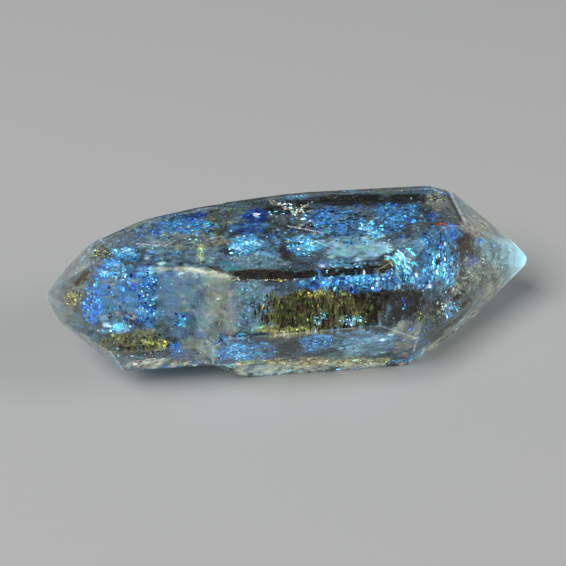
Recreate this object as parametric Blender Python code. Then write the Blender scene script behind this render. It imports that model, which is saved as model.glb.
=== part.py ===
"""Petroleum quartz: one doubly pointed crystal lying on a prism face.

The crystal's long axis runs along X, with the sharp point at +X and the chipped point at -X.
Every flat face is a plane, given by the way it looks and by its distance from the crystal's centre.
All sizes below are millimetres; the model itself is in metres, with +Z up.
"""

import math
import random
from collections import namedtuple

import bmesh
import bpy
from mathutils import Vector

MM = 0.001
RAW_BLOCK = 60.0          # the block that the planes cut down
SNAP = 1.0e-7             # metres, closest distance of two cut points

# A face: its direction around the axis, its normal's angle from +X, its distance from the centre.
Face = namedtuple("Face", "around lean distance")

# Directions around the axis, from +Z (the upper face) towards -Y (the viewer's side).
UPPER = 0.0
FRONT = 60.0
FRONT_LOW = 120.0
BASE = 180.0
BACK_LOW = 240.0
BACK = 300.0

# Quartz keeps these angles from its long axis, at the sharp end and at the tail.
PRISM = 90.0
POINT = 51.8
TAIL = 180.0 - POINT

# The thick half, on the side of the sharp point.
THICK = {
    "upper": Face(UPPER, PRISM, 3.98),
    "front": Face(FRONT, 90.3, 6.43),
    "front_low": Face(FRONT_LOW, 88.85, 5.36),
    "base": Face(BASE, PRISM, 3.99),
    "back_low": Face(BACK_LOW, 89.6, 6.02),
    "back": Face(BACK, 90.2, 5.78),
    "back_bend": Face(BACK, 98.4, 5.64),
}
SHARP_END = {
    "front": Face(FRONT, POINT, 7.71),
    "front_low": Face(FRONT_LOW, POINT, 8.27),
    "upper": Face(357.6, POINT, 9.21),
    "shoulder": Face(358.5, 66.4, 7.31),
    "base": Face(BASE, 52.0, 9.98),
    "back_low": Face(BACK_LOW, POINT, 11.2),
    "back": Face(BACK, POINT, 11.2),
    "first_chip": Face(75.0, 12.0, 14.42),
    "second_chip": Face(300.0, 30.0, 14.0),
}

# The slim half, towards the tail: the same faces, grown less far out. Its back bends down in steps.
SLIM = {
    "upper": Face(UPPER, PRISM, 3.94),
    "front": Face(FRONT, PRISM, 5.09),
    "front_low": Face(FRONT_LOW, PRISM, 5.14),
    "base": Face(BASE, PRISM, 2.58),
    "back_low": Face(BACK_LOW, PRISM, 5.62),
    "back": Face(BACK, PRISM, 5.72),
    "back_bend": Face(BACK, 98.4, 5.6),
    "back_slope": Face(BACK, 106.2, 6.17),
    "back_fall": Face(BACK, 123.6, 8.18),
    "back_low_bend": Face(BACK_LOW, 99.5, 6.0),
    "back_low_fall": Face(BACK_LOW, 111.0, 7.05),
}
TAIL_END = {
    "upper": Face(UPPER, TAIL, 10.62),
    "front": Face(59.3, 129.2, 11.21),
    "front_low": Face(131.0, 129.3, 10.71),
    "base": Face(183.2, 130.7, 8.95),
    "back_low": Face(BACK_LOW, TAIL, 8.35),
    "back": Face(BACK, TAIL, 9.12),
    "first_chip": Face(20.0, 165.0, 14.97),
    "second_chip": Face(95.0, 158.0, 14.55),
    "third_chip": Face(330.0, 140.0, 11.75),
}
SLIM_HALF_ENDS_AT = 4.0                   # along the axis, inside the thick half

# The growth step between the halves: places (along, across) on the slim and the thick faces.
STEP_FOOT_UPPER = (-6.9, -1.67)
STEP_CREST_UPPER = (-3.8, -0.9)
STEP_FOOT_LOWER = (-5.95, 3.0)
STEP_CREST_LOWER = (-4.5, 2.5)
STEP_FOOT_BASE = (-5.5, 0.0)
STEP_CREST_BASE = (-3.85, 0.0)
STEP_CREST_BASE_BACK = (-3.35, -4.0)
STEP_ON_FRONT_LOW = (-5.75, -3.0)
STEP_BEHIND = -4.3                        # along the axis, 5 mm from it
STEP_BEHIND_LEAN = 140.0
RAMP_INSET = 0.01                         # the gentle ramp stays this far under the slim faces
RAMP_ENDS_AT = -2.9
RAMP_DEPTH = 4.2                          # distance of its hidden underside from the centre

EDGE_WEAR = 0.028                         # depth taken off a sharp edge, on average
CORNER_WEAR = 0.07
LEAST_WORN_ANGLE = 14.0                   # degrees between two faces that get a worn edge
WEAR_SPREAD = (0.5, 1.5)

# Striations across the front faces: from, to, how many, and their ends across the face.
Striations = namedtuple("Striations", "face first last number low high")
STRIATIONS = [
    Striations(THICK["front"], -1.45, 3.3, 8, -0.6, 2.25),
    Striations(SLIM["front"], -10.9, -8.6, 5, -1.2, 2.7),
]
STRIATION_RISE = 0.022
STRIATION_FILL = 0.55                     # share of the pitch that one takes

# A patch: where it is on its face, half its length and width, its rise or depth.
Patch = namedtuple("Patch", "face along across length width height")
TERRACES = [
    Patch(THICK["upper"], 2.6, -1.1, 3.4, 1.7, 0.05),
    Patch(THICK["upper"], 5.1, 1.7, 1.5, 0.8, 0.04),
    Patch(THICK["front_low"], 1.0, -2.3, 2.5, 0.8, 0.05),
    Patch(THICK["front_low"], 4.3, -1.2, 1.0, 0.9, 0.04),
    Patch(THICK["back_low"], 2.4, 1.0, 3.0, 1.1, 0.06),
    Patch(THICK["back_low"], 7.6, 1.8, 1.3, 0.8, 0.05),
    Patch(THICK["back"], 7.5, -1.0, 1.7, 1.2, 0.05),
    Patch(THICK["back_bend"], -1.0, -1.0, 1.2, 0.8, 0.05),
    Patch(SLIM["upper"], -8.3, -0.3, 1.5, 1.25, 0.04),
    Patch(SLIM["front_low"], -8.6, -1.7, 1.7, 0.8, 0.04),
    Patch(SLIM["back_slope"], -5.8, -0.9, 0.8, 0.9, 0.04),
    Patch(SHARP_END["front"], 4.2, -0.9, 1.3, 1.0, 0.04),
    Patch(SHARP_END["front"], 6.2, 0.9, 1.0, 0.6, 0.05),
    Patch(SHARP_END["upper"], 8.9, -3.0, 1.0, 0.6, 0.04),
    Patch(SHARP_END["base"], 7.8, 2.3, 0.9, 0.7, 0.05),
    Patch(SHARP_END["back_low"], 7.2, 1.1, 1.1, 0.9, 0.04),
    Patch(TAIL_END["front"], -7.4, 0.2, 0.8, 0.8, 0.04),
    Patch(TAIL_END["back_low"], -6.6, 0.5, 1.2, 0.8, 0.05),
]
TERRACE_SIDES = 7
TERRACE_SLOPE = 35.0
PATCH_ROOT = 0.25                         # how far a patch reaches below or above its face

PITS = [
    Patch(SLIM["upper"], -7.55, -1.95, 0.42, 0.16, 0.16),
    Patch(SLIM["front_low"], -7.37, -0.62, 0.2, 0.1, 0.1),
    Patch(SLIM["front"], -6.4, 1.7, 0.24, 0.12, 0.05),
    Patch(SLIM["base"], -8.8, -0.6, 0.7, 0.5, 0.14),
    Patch(SLIM["back_fall"], -7.0, 0.9, 0.35, 0.2, 0.1),
    Patch(THICK["upper"], -4.3, -3.1, 0.5, 0.16, 0.08),
    Patch(THICK["upper"], -0.75, -2.95, 0.36, 0.17, 0.16),
    Patch(THICK["upper"], 0.45, -2.55, 0.5, 0.24, 0.1),
    Patch(THICK["upper"], 3.4, 1.9, 0.14, 0.1, 0.05),
    Patch(THICK["front"], 4.0, 1.4, 0.2, 0.14, 0.06),
    Patch(THICK["back_low"], 5.2, 2.3, 0.5, 0.3, 0.14),
    Patch(THICK["back_low"], -1.4, 1.2, 0.4, 0.22, 0.12),
    Patch(THICK["back"], 4.2, -0.4, 0.55, 0.25, 0.12),
    Patch(THICK["base"], 2.2, 0.6, 0.6, 0.4, 0.12),
    Patch(THICK["base"], 6.6, 1.8, 0.35, 0.25, 0.1),
    Patch(SHARP_END["front"], 5.95, 1.16, 0.36, 0.13, 0.12),
    Patch(SHARP_END["front"], 6.66, 1.77, 0.3, 0.09, 0.1),
]
PIT_SIDES = 7
PIT_SLOPE = -50.0
OUTLINE_SPREAD = (0.8, 1.12)              # how unevenly a patch's sides are set out

SEED = 2417

COLLECTION = "petroleum_quartz"
NODE = "quartz_crystal"


def clear_scene():
    for item in list(bpy.data.objects):
        bpy.data.objects.remove(item, do_unlink=True)


def new_collection(name):
    collection = bpy.data.collections.new(name)
    bpy.context.scene.collection.children.link(collection)
    return collection


def direction(around, lean):
    """Outward normal of a face."""
    turn = math.radians(around)
    tilt = math.radians(lean)
    radial = math.sin(tilt)
    return Vector((math.cos(tilt), -math.sin(turn) * radial, math.cos(turn) * radial))


def normal_of(face):
    return direction(face.around, face.lean)


def plane_of(face, shift=0.0):
    """A face as a normal and a distance in metres, moved outwards by a shift in millimetres."""
    return normal_of(face), (face.distance + shift) * MM


def square_cut(at, outward):
    """A plane across the long axis."""
    return Vector((outward, 0.0, 0.0)), at * outward * MM


def face_ways(face):
    """Unit vectors along the crystal in the face, across the face, and out of it."""
    normal = normal_of(face)
    axis = Vector((1.0, 0.0, 0.0))
    along = (axis - normal * axis.dot(normal)).normalized()
    return along, along.cross(normal), normal


def point_on(face, along, across):
    along_way, across_way, normal = face_ways(face)
    return (normal * face.distance + along_way * along + across_way * across) * MM


def plane_through(first, second, third, outward):
    normal = (second - first).cross(third - first).normalized()
    if normal.dot(outward) < 0.0:
        normal.negate()
    return normal, first.dot(normal)


def cut_off(bm, normal, distance):
    """Remove what lies beyond one plane and close the cut."""
    found = bmesh.ops.bisect_plane(
        bm, geom=bm.verts[:] + bm.edges[:] + bm.faces[:], dist=SNAP,
        plane_co=normal * distance, plane_no=normal, clear_outer=True)
    rim = [item for item in found["geom_cut"] if isinstance(item, bmesh.types.BMEdge)]
    if rim:
        bmesh.ops.edgeloop_fill(bm, edges=rim)


def worn_planes(bm, rng):
    """One shallow plane for each sharp edge and each corner."""
    planes = []
    for edge in bm.edges:
        if edge.calc_face_angle(0.0) > math.radians(LEAST_WORN_ANGLE):
            way = (edge.link_faces[0].normal + edge.link_faces[1].normal).normalized()
            depth = EDGE_WEAR * rng.uniform(*WEAR_SPREAD) * MM
            planes.append((way, edge.verts[0].co.dot(way) - depth))
    for corner in bm.verts:
        way = sum((face.normal for face in corner.link_faces), Vector()).normalized()
        depth = CORNER_WEAR * rng.uniform(*WEAR_SPREAD) * MM
        planes.append((way, corner.co.dot(way) - depth))
    return planes


def convex_body(name, planes, collection, wear_rng=None):
    """A closed solid bounded by planes; with a random source its edges are worn."""
    bm = bmesh.new()
    bmesh.ops.create_cube(bm, size=RAW_BLOCK * MM)
    for normal, distance in planes:
        cut_off(bm, normal, distance)
    if wear_rng:
        bm.normal_update()
        for normal, distance in worn_planes(bm, wear_rng):
            cut_off(bm, normal, distance)
    bmesh.ops.recalc_face_normals(bm, faces=bm.faces)
    mesh = bpy.data.meshes.new(name)
    bm.to_mesh(mesh)
    bm.free()
    body = bpy.data.objects.new(name, mesh)
    collection.objects.link(body)
    return body


def patch_sides(patch, sides, slope, rng):
    """Slanted planes around a patch, set unevenly on an ellipse."""
    along, across, normal = face_ways(patch.face)
    centre = point_on(patch.face, patch.along, patch.across)
    tilt = math.radians(slope)
    first = rng.uniform(0.0, math.tau)
    planes = []
    for number in range(sides):
        angle = first + math.tau * (number + rng.uniform(-0.2, 0.2)) / sides
        reach = math.hypot(patch.length * math.cos(angle), patch.width * math.sin(angle))
        reach *= rng.uniform(*OUTLINE_SPREAD) * MM
        way = along * math.cos(angle) + across * math.sin(angle)
        tilted = way * math.cos(tilt) + normal * math.sin(tilt)
        planes.append((tilted, (centre + way * reach).dot(tilted)))
    return planes


def raised_patch(name, patch, rng, collection):
    """A low flat-topped patch on a face, rooted in the crystal."""
    planes = patch_sides(patch, TERRACE_SIDES, TERRACE_SLOPE, rng)
    top_normal, top = plane_of(patch.face, patch.height)
    planes.append((top_normal, top))
    planes.append((-top_normal, PATCH_ROOT * MM - top))
    convex_body(name, planes, collection)


def pit_cutter(name, patch, rng, collection):
    planes = patch_sides(patch, PIT_SIDES, PIT_SLOPE, rng)
    floor_normal, floor = plane_of(patch.face, -patch.height)
    planes.append((floor_normal, floor + (patch.height + PATCH_ROOT) * MM))
    planes.append((-floor_normal, -floor))
    convex_body(name, planes, collection)


def step_rises():
    """The steep rises that end the thick half, on each side of the crystal."""
    lower_foot = point_on(SLIM["front"], *STEP_FOOT_LOWER)
    lower_crest = point_on(THICK["front"], *STEP_CREST_LOWER)
    upper_crest = point_on(THICK["front"], *STEP_CREST_UPPER)
    base_foot = point_on(SLIM["base"], *STEP_FOOT_BASE)
    base_crest = point_on(THICK["base"], *STEP_CREST_BASE)
    base_crest_back = point_on(THICK["base"], *STEP_CREST_BASE_BACK)
    low_way = direction(FRONT_LOW, 135.0)
    rises = [
        plane_through(lower_foot, lower_crest, upper_crest, direction(FRONT, 120.0)),
        plane_through(base_foot, base_crest, base_crest_back, direction(BASE, 120.0)),
        (low_way, point_on(SLIM["front_low"], *STEP_ON_FRONT_LOW).dot(low_way)),
    ]
    for around in (UPPER, BACK_LOW, BACK):
        way = direction(around + 8.0, STEP_BEHIND_LEAN)
        crest = Vector((STEP_BEHIND, 0.0, 0.0)) + direction(around, PRISM) * 5.0
        rises.append((way, (crest * MM).dot(way)))
    return rises


def ramp_planes():
    """The gentle ramp up the front face, under the upper part of the step."""
    planes = [plane_of(SLIM[name], -RAMP_INSET) for name in ("upper", "front_low", "base")]
    planes.append(plane_of(THICK["front"], -RAMP_INSET))
    planes.append((-direction(FRONT, PRISM), -RAMP_DEPTH * MM))
    planes.append(square_cut(RAMP_ENDS_AT, 1.0))
    upper_foot = point_on(SLIM["front"], *STEP_FOOT_UPPER)
    lower_foot = point_on(SLIM["front"], *STEP_FOOT_LOWER)
    upper_crest = point_on(THICK["front"], *STEP_CREST_UPPER)
    planes.append(plane_through(upper_foot, lower_foot, upper_crest, direction(FRONT, 110.0)))
    return planes


def build_halves(body_collection, growth_collection):
    rng = random.Random(SEED)
    thick = [plane_of(face) for face in [*THICK.values(), *SHARP_END.values()]]
    crystal = convex_body(NODE, thick + step_rises(), body_collection, rng)
    slim = [plane_of(face) for face in [*SLIM.values(), *TAIL_END.values()]]
    slim.append(square_cut(SLIM_HALF_ENDS_AT, 1.0))
    convex_body("slim_half", slim, growth_collection, rng)
    convex_body("step_ramp", ramp_planes(), growth_collection)
    return crystal


def build_striations(growth_collection):
    rng = random.Random(SEED + 1)
    for rows in STRIATIONS:
        pitch = (rows.last - rows.first) / rows.number
        for index in range(rows.number):
            along = rows.first + pitch * (index + 0.5 + rng.uniform(-0.25, 0.25))
            low = rows.low + rng.uniform(0.0, 1.0)
            high = rows.high - rng.uniform(0.0, 0.8)
            line = Patch(rows.face, along, (low + high) / 2.0,
                         pitch * STRIATION_FILL * rng.uniform(0.35, 0.6), (high - low) / 2.0,
                         STRIATION_RISE * rng.uniform(*WEAR_SPREAD))
            raised_patch(f"striation_{index}", line, rng, growth_collection)


def build_patches(growth_collection, pit_collection):
    rng = random.Random(SEED + 2)
    for index, patch in enumerate(TERRACES):
        raised_patch(f"terrace_{index}", patch, rng, growth_collection)
    for index, patch in enumerate(PITS):
        pit_cutter(f"pit_{index}", patch, rng, pit_collection)


def join(crystal, name, operation, collection):
    change = crystal.modifiers.new(name, "BOOLEAN")
    change.operation = operation
    change.operand_type = "COLLECTION"
    change.collection = collection
    change.solver = "EXACT"


def mark_as_guides(collection):
    for item in collection.objects:
        item.hide_render = True
        item.display_type = "WIRE"


def quartz_material():
    material = bpy.data.materials.new("clear_quartz")
    material.use_nodes = True
    shader = material.node_tree.nodes["Principled BSDF"]
    shader.inputs["Base Color"].default_value = (0.62, 0.68, 0.72, 1.0)
    shader.inputs["Roughness"].default_value = 0.06
    shader.inputs["Metallic"].default_value = 0.0
    shader.inputs["IOR"].default_value = 1.544
    return material


def stand_on_base(crystal, guides):
    """Put the middle of the crystal's underside at the world's origin."""
    bpy.context.view_layer.update()
    shape = crystal.evaluated_get(bpy.context.evaluated_depsgraph_get())
    corners = [Vector(corner) for corner in shape.bound_box]
    low = [min(corner[axis] for corner in corners) for axis in range(3)]
    high = [max(corner[axis] for corner in corners) for axis in range(3)]
    frame = bpy.data.objects.new("crystal_frame", None)
    bpy.context.scene.collection.objects.link(frame)
    frame.location = (-(low[0] + high[0]) / 2.0, -(low[1] + high[1]) / 2.0, -low[2])
    for item in [crystal, *guides]:
        item.parent = frame


def main():
    clear_scene()
    body_collection = new_collection(COLLECTION)
    growth_collection = new_collection("growth_layers")
    pit_collection = new_collection("pit_cutters")

    crystal = build_halves(body_collection, growth_collection)
    build_striations(growth_collection)
    build_patches(growth_collection, pit_collection)
    mark_as_guides(growth_collection)
    mark_as_guides(pit_collection)

    join(crystal, "grown_together", "UNION", growth_collection)
    join(crystal, "pitted", "DIFFERENCE", pit_collection)
    crystal.data.materials.append(quartz_material())
    stand_on_base(crystal, [*growth_collection.objects, *pit_collection.objects])


main()
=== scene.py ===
"""Looks of a petroleum quartz: a clear crystal with oil, bitumen and dust sealed inside.

Lengths are written in millimetres and multiplied by MM. The crystal's long axis is X, with the sharp
point at +X. The inclusions are a cloudy veil that follows the faces a little way inside, a smoky heart,
and small closed flakes about the veil. A pocket of flakes is placed by the pixel of the 566 x 566
photograph where it shows: the line of sight through that pixel is bent where it enters the quartz, and
the pocket sits where that line meets the veil.
"""

import math
import random
from collections import namedtuple

import bmesh
import bpy
import numpy as np
from mathutils import Matrix, Vector, kdtree, noise
from mathutils.bvhtree import BVHTree


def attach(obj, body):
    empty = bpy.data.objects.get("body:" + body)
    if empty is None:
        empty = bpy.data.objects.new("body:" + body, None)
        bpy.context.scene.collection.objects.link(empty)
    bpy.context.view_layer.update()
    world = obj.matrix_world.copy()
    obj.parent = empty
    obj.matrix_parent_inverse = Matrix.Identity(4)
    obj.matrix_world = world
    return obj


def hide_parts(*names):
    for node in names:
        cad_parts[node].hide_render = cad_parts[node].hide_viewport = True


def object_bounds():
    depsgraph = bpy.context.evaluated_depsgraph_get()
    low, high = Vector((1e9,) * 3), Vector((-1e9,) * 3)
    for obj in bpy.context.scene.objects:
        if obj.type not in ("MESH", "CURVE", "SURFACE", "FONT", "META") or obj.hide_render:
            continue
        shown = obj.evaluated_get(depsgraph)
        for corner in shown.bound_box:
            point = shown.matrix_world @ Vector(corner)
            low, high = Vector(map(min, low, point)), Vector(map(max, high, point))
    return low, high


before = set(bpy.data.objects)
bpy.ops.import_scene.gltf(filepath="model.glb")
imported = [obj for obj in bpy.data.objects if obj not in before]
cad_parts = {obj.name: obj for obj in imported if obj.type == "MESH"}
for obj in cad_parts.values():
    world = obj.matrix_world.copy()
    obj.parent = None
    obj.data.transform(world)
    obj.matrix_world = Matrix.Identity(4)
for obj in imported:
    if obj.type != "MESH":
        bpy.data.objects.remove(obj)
cad_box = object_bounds()

MM = 0.001
QUARTZ_INDEX = 1.544
SEED = 41

# Camera, at the photograph's angle; at the crystal one pixel of the photograph is PIXEL mm
PHOTO_SIDE = 566
PIXEL = 0.0624
VIEW_AZIMUTH = math.radians(-5.996)
VIEW_HEIGHT = math.radians(32.936)
EYE = Vector((-9.256, -80.760, 56.724)) * MM
LENS = 100.0
SENSOR = 36.0

BACK = Vector(
    (
        math.sin(VIEW_AZIMUTH) * math.cos(VIEW_HEIGHT),
        -math.cos(VIEW_AZIMUTH) * math.cos(VIEW_HEIGHT),
        math.sin(VIEW_HEIGHT),
    )
)
RIGHT = Vector((math.cos(VIEW_AZIMUTH), math.sin(VIEW_AZIMUTH), 0))
UP = BACK.cross(RIGHT)


def srgb(red, green, blue):
    """A screen colour of 0 to 255 as linear light."""
    shares = [value / 255 for value in (red, green, blue)]
    return tuple(((c + 0.055) / 1.055) ** 2.4 if c > 0.04 else c / 12.92 for c in shares)


# Colours of what is sealed in the quartz
NAVY = srgb(14, 42, 116)
ROYAL = srgb(36, 102, 202)
SKY = srgb(70, 158, 220)
CYAN = srgb(96, 212, 240)
ICE = srgb(205, 242, 255)
VIOLET = srgb(82, 76, 182)
TEAL = srgb(70, 128, 140)
STEEL = srgb(92, 132, 160)
DENIM = srgb(66, 118, 160)
LAKE = srgb(80, 152, 188)
HAZE = srgb(104, 132, 148)
PALE = srgb(138, 186, 198)
BEIGE = srgb(132, 144, 138)
CHALK = srgb(144, 142, 124)
CREAM = srgb(190, 192, 168)
STRAW = srgb(138, 138, 102)
LEMON = srgb(194, 208, 108)
GOLD = srgb(144, 142, 70)
OLIVE = srgb(90, 98, 58)
MOSS = srgb(48, 52, 34)
BROWN = srgb(62, 46, 40)
MURK = srgb(70, 76, 76)
RUST = srgb(160, 92, 66)
PINK = srgb(222, 178, 190)
BITUMEN_AND_SHADE = srgb(20, 18, 17)
SMOKE = srgb(36, 43, 49)
WHITE = srgb(244, 244, 236)
# Skin colours, painted as glow: the milky sharp tip, and a painted sheen along the worn edges in place of
# their highlights
GLACIER = srgb(140, 205, 226)
EDGE_SHEEN = srgb(116, 126, 128)

# A broad tone. at: pixel of the photograph; reach: half its length and height in mm, turned by turn
# degrees; cover: how thick its cloud is; grain: how mottled.
Wash = namedtuple("Wash", "tint at reach cover grain turn", defaults=(0,))

# Tones on the outer veil
VEIL_WASHES = [
    # Blunt end
    Wash(BEIGE, (82, 285), (1.0, 1.3), 0.6, 0.4),
    Wash(MURK, (100, 257), (0.9, 0.5), 0.6, 0.6),
    Wash(SKY, (92, 302), (0.6, 1.2), 0.8, 0.7),
    Wash(ROYAL, (94, 302), (0.5, 1.1), 0.85, 0.7),
    Wash(DENIM, (118, 298), (1.1, 2.1), 0.95, 0.5),
    Wash(DENIM, (146, 297), (0.7, 2.1), 0.95, 0.9),
    Wash(SKY, (120, 256), (0.95, 0.5), 0.95, 0.7),
    Wash(OLIVE, (138, 341), (2.0, 0.5), 0.95, 0.9),
    Wash(STRAW, (140, 338), (1.9, 0.5), 0.9, 0.9),
    Wash(MURK, (142, 354), (1.7, 0.3), 0.9, 0.9),
    Wash(HAZE, (150, 240), (1.5, 0.7), 0.7, 0.6),
    # Upper face
    Wash(DENIM, (185, 225), (1.7, 0.5), 0.95, 0.7),
    Wash(NAVY, (190, 216), (1.0, 0.25), 0.9, 0.7),
    Wash(HAZE, (187, 248), (2.4, 0.9), 0.95, 0.7),
    Wash(CHALK, (190, 242), (2.2, 0.5), 0.95, 0.9),
    Wash(LEMON, (201, 248), (0.12, 0.15), 1.2, 0.3),
    Wash(LEMON, (202, 257), (0.12, 0.15), 1.2, 0.3),
    Wash(TEAL, (229, 265), (0.5, 0.4), 1.2, 0.3),
    Wash(MURK, (220, 220), (0.9, 0.9), 0.9, 1.0),
    Wash(NAVY, (256, 216), (0.8, 0.5), 1.1, 0.6),
    Wash(DENIM, (250, 228), (1.1, 0.5), 0.95, 0.8),
    Wash(LAKE, (246, 246), (1.1, 0.6), 0.95, 0.9),
    Wash(HAZE, (255, 261), (1.9, 0.4), 0.95, 0.8),
    Wash(MURK, (290, 225), (1.6, 0.8), 0.95, 0.8),
    Wash(STEEL, (270, 250), (0.9, 0.6), 0.95, 0.9),
    Wash(BROWN, (283, 252), (0.4, 0.5), 0.95, 0.6),
    Wash(LAKE, (305, 246), (1.1, 0.6), 0.95, 0.9),
    Wash(DENIM, (330, 218), (1.8, 0.6), 0.95, 1.0),
    Wash(DENIM, (350, 230), (2.6, 0.5), 0.95, 0.9),
    Wash(PALE, (357, 247), (2.0, 0.75), 0.98, 0.1),
    Wash(DENIM, (398, 215), (1.3, 0.8), 0.95, 1.0),
    Wash(MURK, (422, 225), (1.0, 0.9), 0.95, 0.8),
    Wash(HAZE, (412, 243), (0.9, 0.6), 0.95, 0.7),
    Wash(BITUMEN_AND_SHADE, (288, 208), (1.4, 0.5), 1.6, 0.6),
    # Painted shade: bitumen and smoke tones darken the clear band just below the top edge
    Wash(BITUMEN_AND_SHADE, (350, 200), (2.6, 0.3), 1.5, 0.5),
    Wash(BITUMEN_AND_SHADE, (360, 199), (3.2, 0.2), 1.5, 0.5),
    Wash(SMOKE, (335, 199), (1.8, 0.35), 1.2, 0.9),
    Wash(BITUMEN_AND_SHADE, (402, 198), (2.2, 0.28), 1.5, 0.5),
    Wash(SMOKE, (372, 201), (4.2, 0.3), 1.2, 0.9),
    Wash(STEEL, (345, 264), (2.0, 0.25), 0.85, 1.0),
    Wash(MURK, (440, 205), (0.8, 1.1), 1.3, 0.9),
    # Ridge between the upper and the front face: its dark brown band is partly dark inclusions, partly
    # painted shade of the ledge
    Wash(BROWN, (222, 270), (0.8, 0.15), 1.6, 0.5, turn=-15),
    Wash(BROWN, (265, 274), (2.6, 0.22), 1.8, 0.5),
    Wash(BITUMEN_AND_SHADE, (262, 275), (2.3, 0.14), 1.8, 0.5),
    Wash(BROWN, (345, 270), (2.9, 0.18), 1.8, 0.5, turn=5),
    Wash(BITUMEN_AND_SHADE, (345, 270), (2.6, 0.12), 1.8, 0.5, turn=5),
    # Front face
    Wash(HAZE, (180, 305), (1.7, 2.2), 0.98, 0.12),
    Wash(STEEL, (164, 300), (0.5, 2.0), 0.98, 0.4),
    Wash(DENIM, (172, 290), (0.1, 1.2), 0.98, 0.4),
    Wash(SKY, (181, 320), (0.4, 0.35), 0.98, 0.6),
    Wash(MURK, (163, 327), (0.45, 0.3), 1.2, 0.5),
    Wash(BEIGE, (220, 308), (1.1, 2.2), 0.98, 0.15),
    Wash(HAZE, (202, 306), (0.5, 2.1), 0.98, 0.3),
    Wash(HAZE, (236, 304), (0.4, 1.8), 0.98, 0.4),
    Wash(CHALK, (213, 310), (0.1, 2.0), 0.98, 0.3),
    Wash(CHALK, (228, 306), (0.15, 1.6), 0.98, 0.3),
    Wash(HAZE, (253, 305), (1.2, 1.7), 0.9, 0.8),
    Wash(DENIM, (370, 280), (4.3, 0.5), 0.95, 1.0),
    Wash(OLIVE, (318, 311), (3.7, 1.15), 1.6, 1.0),
    Wash(MOSS, (300, 311), (1.6, 1.0), 1.4, 1.0),
    Wash(MOSS, (366, 306), (0.9, 0.8), 1.4, 1.0),
    Wash(BITUMEN_AND_SHADE, (392, 303), (2.1, 0.95), 1.8, 0.6),
    Wash(STRAW, (290, 330), (2.0, 0.2), 0.9, 0.9),
    Wash(BEIGE, (410, 328), (0.9, 0.4), 0.9, 0.3),
    # Lower front face
    Wash(SKY, (234, 352), (0.9, 0.4), 0.98, 0.5),
    Wash(LAKE, (238, 351), (1.6, 0.5), 0.98, 0.6),
    Wash(DENIM, (242, 351), (1.9, 0.6), 0.98, 0.8),
    Wash(MURK, (286, 350), (0.9, 0.7), 0.95, 0.7),
    Wash(DENIM, (315, 343), (1.1, 0.6), 0.95, 0.8),
    Wash(STEEL, (362, 343), (2.1, 0.75), 0.98, 0.4),
    Wash(PALE, (365, 345), (1.9, 0.6), 0.98, 0.4),
    Wash(BEIGE, (402, 345), (0.7, 0.6), 0.85, 0.3),
    Wash(STRAW, (320, 361), (5.1, 0.25), 0.85, 0.9),
    Wash(BEIGE, (195, 350), (1.2, 0.6), 0.85, 0.2),
    # Sharp end
    Wash(DENIM, (440, 245), (1.3, 1.2), 0.95, 0.9),
    Wash(LAKE, (443, 265), (1.1, 1.3), 0.9, 1.0),
    Wash(RUST, (442, 225), (0.3, 0.15), 1.0, 0.4),
    Wash(BROWN, (463, 247), (0.6, 0.9), 1.2, 0.6),
    Wash(BEIGE, (480, 280), (1.6, 1.6), 0.85, 0.35),
    Wash(MURK, (478, 275), (1.5, 1.4), 0.85, 0.8),
    Wash(MURK, (462, 298), (0.9, 0.7), 0.9, 0.9),
    Wash(CHALK, (475, 225), (1.0, 0.6), 0.8, 0.6),
    Wash(PALE, (500, 252), (1.2, 0.9), 0.6, 0.2),
    Wash(MURK, (430, 310), (0.9, 0.7), 0.85, 0.9),
    Wash(STEEL, (452, 308), (0.5, 0.8), 0.8, 0.8, turn=-35),
    Wash(MURK, (440, 332), (1.8, 0.4), 1.6, 0.6, turn=38),
    Wash(MOSS, (445, 330), (1.6, 0.2), 1.6, 0.6, turn=38),
]

# Milky places on the skin, painted as glow, where cover is how bright they glow
SKIN_WASHES = [
    Wash(CHALK, (60, 300), (0.9, 1.5), 0.42, 0.4),
    Wash(CHALK, (85, 262), (1.8, 0.5), 0.35, 0.4, turn=42),
    Wash(CHALK, (130, 232), (2.4, 0.35), 0.3, 0.4, turn=25),
    # Painted highlight in part: cream strips along the ridge
    Wash(CREAM, (175, 269), (1.9, 0.08), 0.5, 0.4),
    Wash(CREAM, (203, 272), (1.3, 0.12), 0.95, 0.4, turn=-12),
    Wash(CREAM, (218, 275), (1.3, 0.12), 0.8, 0.4, turn=-14),
    Wash(LEMON, (201, 247), (0.02, 0.1), 0.6, 0.3),
    Wash(LEMON, (202, 257), (0.02, 0.1), 0.6, 0.3),
    Wash(BEIGE, (215, 310), (0.9, 2.2), 0.15, 0.4),
    Wash(BEIGE, (206, 354), (0.5, 0.9), 0.5, 0.5),
    Wash(CREAM, (160, 364), (2.4, 0.3), 0.6, 0.7),
    Wash(CREAM, (320, 367), (5.0, 0.35), 0.5, 0.9),
    Wash(CREAM, (262, 371), (1.6, 0.3), 0.75, 0.7),
    Wash(STRAW, (435, 343), (1.8, 0.25), 0.6, 0.7, turn=38),
    Wash(CHALK, (490, 296), (2.4, 0.35), 0.5, 0.5, turn=42),
    # Painted highlight: a thin pale line along the top outline
    Wash(BEIGE, (330, 192), (6.2, 0.1), 0.3, 0.8, turn=4),
    Wash(CHALK, (436, 200), (0.55, 0.75), 0.42, 0.6),
    Wash(CHALK, (447, 208), (0.3, 0.7), 0.3, 0.6, turn=30),
    Wash(BITUMEN_AND_SHADE, (180, 363), (0.22, 0.12), 0.0, 0.4),
    Wash(CHALK, (490, 225), (2.0, 0.6), 0.4, 0.4, turn=-42),
    Wash(STEEL, (104, 302), (0.08, 2.1), 0.35, 0.4),
]

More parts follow.
